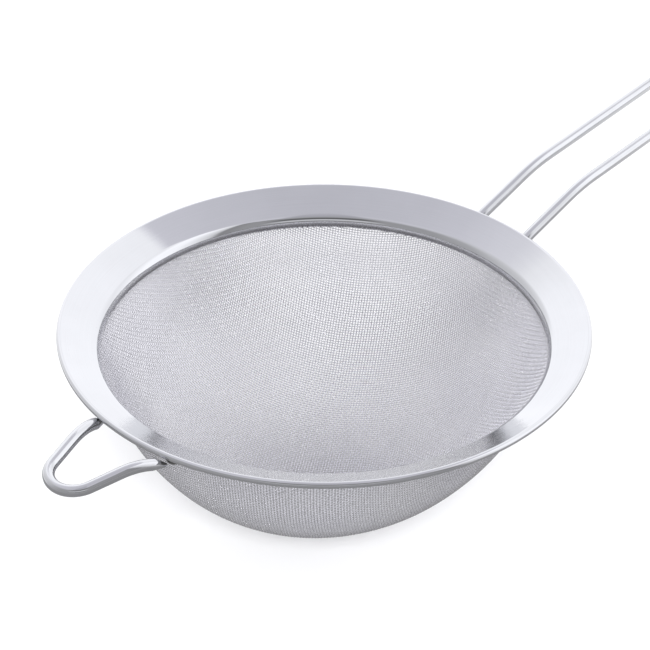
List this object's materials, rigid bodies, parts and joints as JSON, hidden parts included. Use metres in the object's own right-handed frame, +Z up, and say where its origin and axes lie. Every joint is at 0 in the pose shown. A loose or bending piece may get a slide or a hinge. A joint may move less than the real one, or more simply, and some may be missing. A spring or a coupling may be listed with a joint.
{
  "type": "tea strainer",
  "caption": "Fine-mesh tea strainer with a round woven wire bowl, a flanged rim, a long looped wire handle and a wire rest loop.",
  "frame": {"origin": "on the bowl's axis, halfway up the clamp ring's skirt, where the strainer is centred in a cup's mouth", "axes": "+Z up along the bowl's axis out of its mouth, +X from the axis towards the handle's end"},
  "size_m": [0.2311, 0.095, 0.0533],
  "materials": {
    "sheet_steel": "polished",
    "wire_cloth": "bright woven",
    "drawn_wire": "bright drawn",
    "weld_metal": "as welded"
  },
  "bodies": {
    "root": {"rim_flange": "sheet_steel", "clamp_ring": "sheet_steel", "mesh_bowl": "wire_cloth", "handle_wire": "drawn_wire", "rest_loop": "drawn_wire", "handle_weld_left": "weld_metal", "handle_weld_right": "weld_metal", "rest_weld_left": "weld_metal", "rest_weld_right": "weld_metal"}
  },
  "joints": []
}
